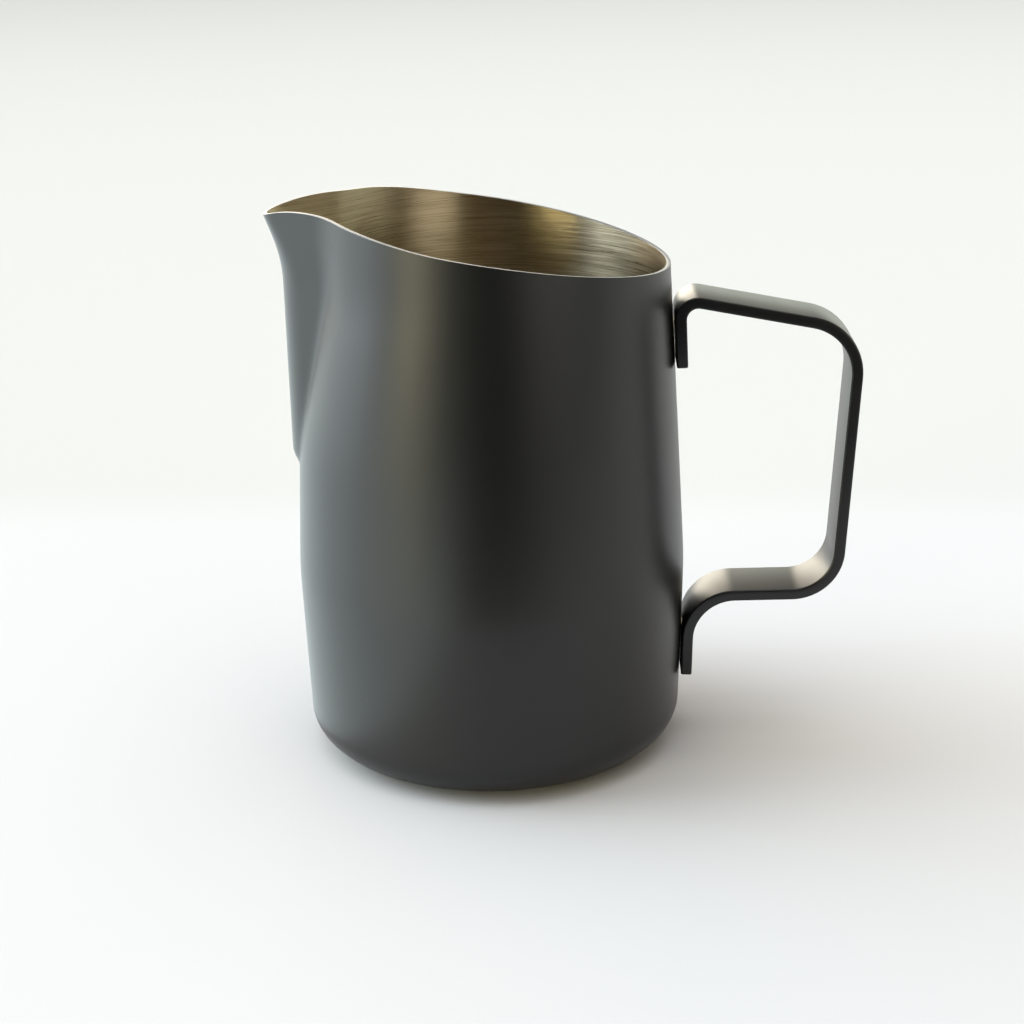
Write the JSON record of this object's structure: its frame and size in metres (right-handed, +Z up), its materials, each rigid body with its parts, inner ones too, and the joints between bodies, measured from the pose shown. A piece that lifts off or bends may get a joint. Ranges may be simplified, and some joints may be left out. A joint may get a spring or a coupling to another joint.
{
  "type": "milk frothing pitcher",
  "caption": "Tapered steel frothing pitcher with a slanted rim, a pressed V spout, a satin black outside, a brushed bare inside and a bent flat-bar handle.",
  "frame": {"origin": "centre of the flat underside, on the axis of the round body", "axes": "+Z up, +X towards the handle, -X towards the spout, +Y across"},
  "size_m": [0.1306, 0.0874, 0.1247],
  "materials": {
    "black_coat": "satin black coat over drawn steel",
    "handle_coat": "satin black coat over flat steel bar",
    "bare_steel": "brushed round the axis, slightly warm"
  },
  "bodies": {
    "root": {"body_shell": "black_coat", "handle_strap": "handle_coat", "upper_spot_weld_1": "bare_steel", "upper_spot_weld_2": "bare_steel", "lower_spot_weld_1": "bare_steel", "lower_spot_weld_2": "bare_steel"}
  },
  "joints": []
}
